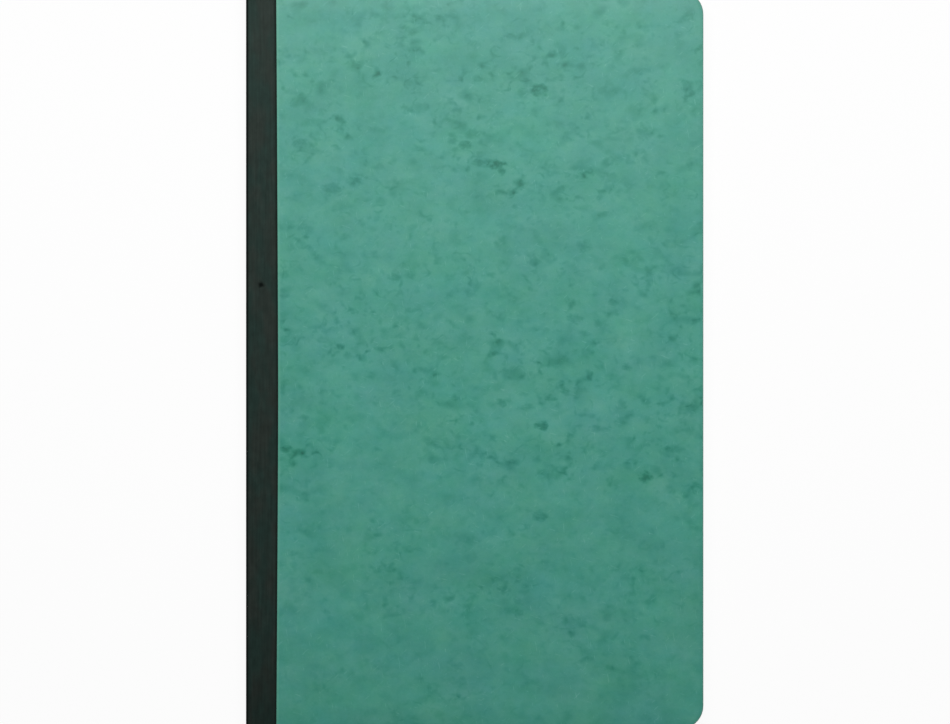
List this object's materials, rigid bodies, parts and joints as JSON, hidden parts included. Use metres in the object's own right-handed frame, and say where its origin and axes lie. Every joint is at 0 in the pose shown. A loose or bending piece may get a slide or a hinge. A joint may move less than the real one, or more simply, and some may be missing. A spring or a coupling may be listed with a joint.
{
  "type": "due date register",
  "caption": "Upright register book with mottled green pressboard covers, rounded fore-edge corners, a black cloth spine tape and sewn ruled leaves; it opens at the cover and the middle.",
  "frame": {"origin": "middle of the underside, on the surface that the closed book lies on", "axes": "+X from the spine to the fore-edge, +Y from the tail to the head, +Z from the back cover up to the front cover"},
  "size_m": [0.199, 0.321, 0.0085],
  "materials": {
    "pressboard": "satin",
    "book_cloth": "matte",
    "paper": "matte",
    "endpaper": "matte",
    "thread": "matte"
  },
  "bodies": {
    "back_cover": {"back_cover": "pressboard", "back_tape": "book_cloth", "back_pastedown": "endpaper"},
    "section_6": {"section_6_sheet_1": "paper", "section_6_sheet_2": "paper", "section_6_sheet_3": "paper", "section_6_sheet_4": "paper", "section_6_thread": "thread", "spine_tape_6": "book_cloth", "back_flyleaf": "endpaper"},
    "section_5": {"section_5_sheet_1": "paper", "section_5_sheet_2": "paper", "section_5_sheet_3": "paper", "section_5_sheet_4": "paper", "section_5_thread": "thread", "spine_tape_5": "book_cloth"},
    "section_4": {"section_4_sheet_1": "paper", "section_4_sheet_2": "paper", "section_4_sheet_3": "paper", "section_4_sheet_4": "paper", "section_4_thread": "thread", "spine_tape_4": "book_cloth"},
    "section_3": {"section_3_sheet_1": "paper", "section_3_sheet_2": "paper", "section_3_sheet_3": "paper", "section_3_sheet_4": "paper", "section_3_thread": "thread", "spine_tape_3": "book_cloth"},
    "section_2": {"section_2_sheet_1": "paper", "section_2_sheet_2": "paper", "section_2_sheet_3": "paper", "section_2_sheet_4": "paper", "section_2_thread": "thread", "spine_tape_2": "book_cloth"},
    "section_1": {"section_1_sheet_1": "paper", "section_1_sheet_2": "paper", "section_1_sheet_3": "paper", "section_1_sheet_4": "paper", "section_1_thread": "thread", "spine_tape_1": "book_cloth", "front_flyleaf": "endpaper"},
    "front_cover": {"front_cover": "pressboard", "front_tape": "book_cloth", "front_pastedown": "endpaper"}
  },
  "joints": [
    {"name": "section_6_hinge", "type": "hinge", "parent": "back_cover", "child": "section_6", "pos_m": [-0.0995, 0, 0], "axis": [0, -1, 0], "range_deg": [0, 6]},
    {"name": "section_5_hinge", "type": "hinge", "parent": "section_6", "child": "section_5", "pos_m": [-0.0995, 0, 0.00199], "axis": [0, -1, 0], "range_deg": [0, 6]},
    {"name": "section_4_hinge", "type": "hinge", "parent": "section_5", "child": "section_4", "pos_m": [-0.0995, 0, 0.00311], "axis": [0, -1, 0], "range_deg": [0, 6]},
    {"name": "book_opening", "type": "hinge", "parent": "section_4", "child": "section_3", "pos_m": [-0.0995, 0, 0.00424], "axis": [0, -1, 0], "range_deg": [0, 150]},
    {"name": "section_2_hinge", "type": "hinge", "parent": "section_3", "child": "section_2", "pos_m": [-0.0995, 0, 0.00536], "axis": [0, -1, 0], "range_deg": [0, 6]},
    {"name": "section_1_hinge", "type": "hinge", "parent": "section_2", "child": "section_1", "pos_m": [-0.0995, 0, 0.00649], "axis": [0, -1, 0], "range_deg": [0, 6]},
    {"name": "front_cover_hinge", "type": "hinge", "parent": "section_1", "child": "front_cover", "pos_m": [-0.0995, 0, 0.00847], "axis": [0, -1, 0], "range_deg": [0, 179.5]}
  ],
  "couplings": [
    {"joint": "section_6_hinge", "follows": "book_opening", "ratio": 0.04},
    {"joint": "section_5_hinge", "follows": "book_opening", "ratio": 0.04},
    {"joint": "section_4_hinge", "follows": "book_opening", "ratio": 0.04},
    {"joint": "section_2_hinge", "follows": "book_opening", "ratio": 0.04},
    {"joint": "section_1_hinge", "follows": "book_opening", "ratio": 0.04}
  ]
}
